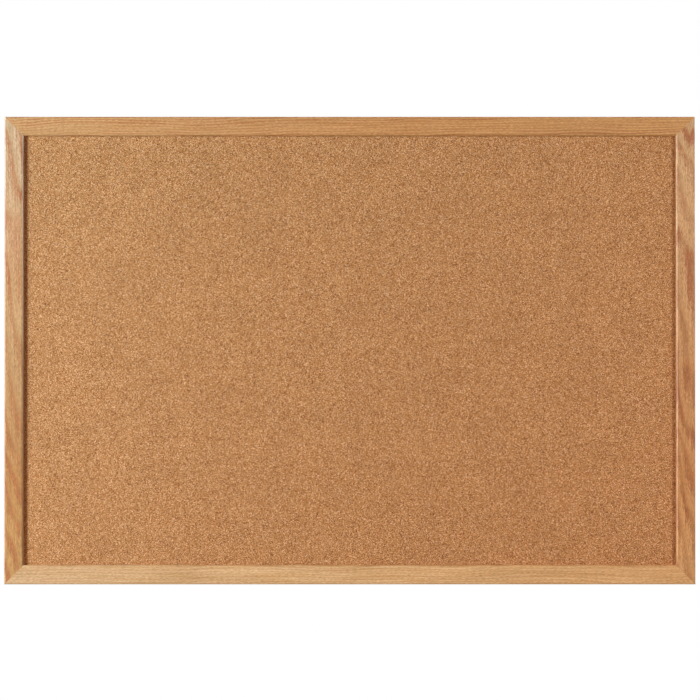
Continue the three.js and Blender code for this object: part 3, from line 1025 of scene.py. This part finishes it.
def d_ring(node, pivot):
    """The ring, from the middle of its straight bar round and back to it.

    It hangs with the lean that brings its lowest point as far out as the CAD ring's.
    """
    low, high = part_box(node)
    wire = high.z - pivot[2]
    turn = (high.x - low.x) / 2 - wire
    reach = RING_CORNER + RING_SIDE + turn
    lean = asin((high.y - wire - pivot[1]) / reach)
    bm = bmesh.new()
    bmesh.ops.create_circle(bm, segments=WIRE_SIDES, radius=wire)
    bmesh.ops.rotate(bm, verts=bm.verts, cent=(0, 0, 0), matrix=Matrix.Rotation(pi / 2, 3, "Y"))
    bmesh.ops.translate(bm, verts=bm.verts, vec=(BUTT_GAP / 2, 0, 0))
    section = list(bm.edges)
    bar = turn - RING_CORNER - BUTT_GAP / 2
    corner = turn - RING_CORNER
    section = run_straight(bm, section, (bar, 0, 0))
    section = run_round(bm, section, (corner, 0, -RING_CORNER), pi / 2, CORNER_STEPS)
    section = run_straight(bm, section, (0, 0, -RING_SIDE))
    section = run_round(bm, section, (0, 0, -RING_CORNER - RING_SIDE), pi, BOW_STEPS)
    section = run_straight(bm, section, (0, 0, RING_SIDE))
    section = run_round(bm, section, (-corner, 0, -RING_CORNER), pi / 2, CORNER_STEPS)
    run_straight(bm, section, (bar, 0, 0))
    bmesh.ops.holes_fill(bm, edges=[edge for edge in bm.edges if edge.is_boundary])
    bmesh.ops.remove_doubles(bm, verts=bm.verts, dist=RING_WELD)
    bmesh.ops.recalc_face_normals(bm, faces=bm.faces)
    bmesh.ops.rotate(bm, verts=bm.verts, cent=(0, 0, 0), matrix=Matrix.Rotation(lean, 3, "X"))
    bmesh.ops.translate(bm, verts=bm.verts, vec=pivot)
    return bm


for joint in frame["joints"]:
    body = joint["child"]
    node = "d_ring_" + body.removeprefix("ring_")
    bm = d_ring(node, joint["pos_m"])
    ring = finished(bm, "wire_" + node, zinc, body, node)
    print(ring.name, len(ring.data.polygons), "faces")

# %% [markdown]
# ## Bumpers
#
# The two bumpers are moulded rubber buttons. A disc is extruded to the button's height, its
# side drawn in a little so that it leaves its mould, and its rim is rounded by a bevel.

# %% Rubber
RUBBER_GRIT = 0.5 * MM
GRIT_DEPTH = 0.05 * MM


def moulded_rubber():
    """Dull black rubber with the fine grain of its mould."""
    material, tree, surface = new_material("moulded_rubber")
    place = add_node(tree, "TexCoord", {}).outputs["Object"]
    noisy = {"Vector": place, "Scale": 1 / RUBBER_GRIT, "Detail": 3.0}
    grit = add_node(tree, "TexNoise", noisy).outputs["Fac"]
    tones = [(0.3, "#222120"), (0.7, "#353432")]
    tone = add_node(tree, "ValToRGB", {"Fac": grit, "stops": tones})
    tree.links.new(tone.outputs["Color"], surface.inputs["Base Color"])
    surface.inputs["Roughness"].default_value = 0.75
    bump = add_node(tree, "Bump", {"Height": grit, "Strength": 0.3, "Distance": GRIT_DEPTH})
    tree.links.new(bump.outputs["Normal"], surface.inputs["Normal"])
    return material


rubber = moulded_rubber()
print("bumpers of", rubber.name)

# %% [markdown]
# The button is drawn flat, with its height along Z. It is turned last, so that it points at the
# wall, and moved to its place in the CAD.

# %% Bumpers
BUMPER_SIDES = 64
BUMPER_DRAFT = 0.6 * MM
BUMPER_ROUND = 1.2 * MM
ROUND_SEGMENTS = 6

for node in ("bumper_left", "bumper_right"):
    low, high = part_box(node)
    middle = (low + high) / 2
    radius = (high.x - low.x) / 2
    bm = bmesh.new()
    bmesh.ops.create_circle(bm, cap_ends=True, segments=BUMPER_SIDES, radius=radius)
    grown = bmesh.ops.extrude_face_region(bm, geom=bm.faces[:])["geom"]
    top = verts_of(grown)
    drawn_in = (radius - BUMPER_DRAFT) / radius
    bmesh.ops.scale(bm, verts=top, vec=(drawn_in, drawn_in, 1))
    bmesh.ops.translate(bm, verts=top, vec=(0, 0, high.y - low.y))
    rim = [edge for edge in bm.edges if set(edge.verts) <= set(top)]
    soften(bm, rim, BUMPER_ROUND, segments=ROUND_SEGMENTS)
    bmesh.ops.rotate(bm, verts=bm.verts, cent=(0, 0, 0), matrix=Matrix.Rotation(-pi / 2, 3, "X"))
    bmesh.ops.translate(bm, verts=bm.verts, vec=(middle.x, low.y, middle.z))
    bmesh.ops.recalc_face_normals(bm, faces=bm.faces)
    bumper = finished(bm, "rubber_" + node, rubber, "board", node)
    print(bumper.name, len(bumper.data.polygons), "faces")
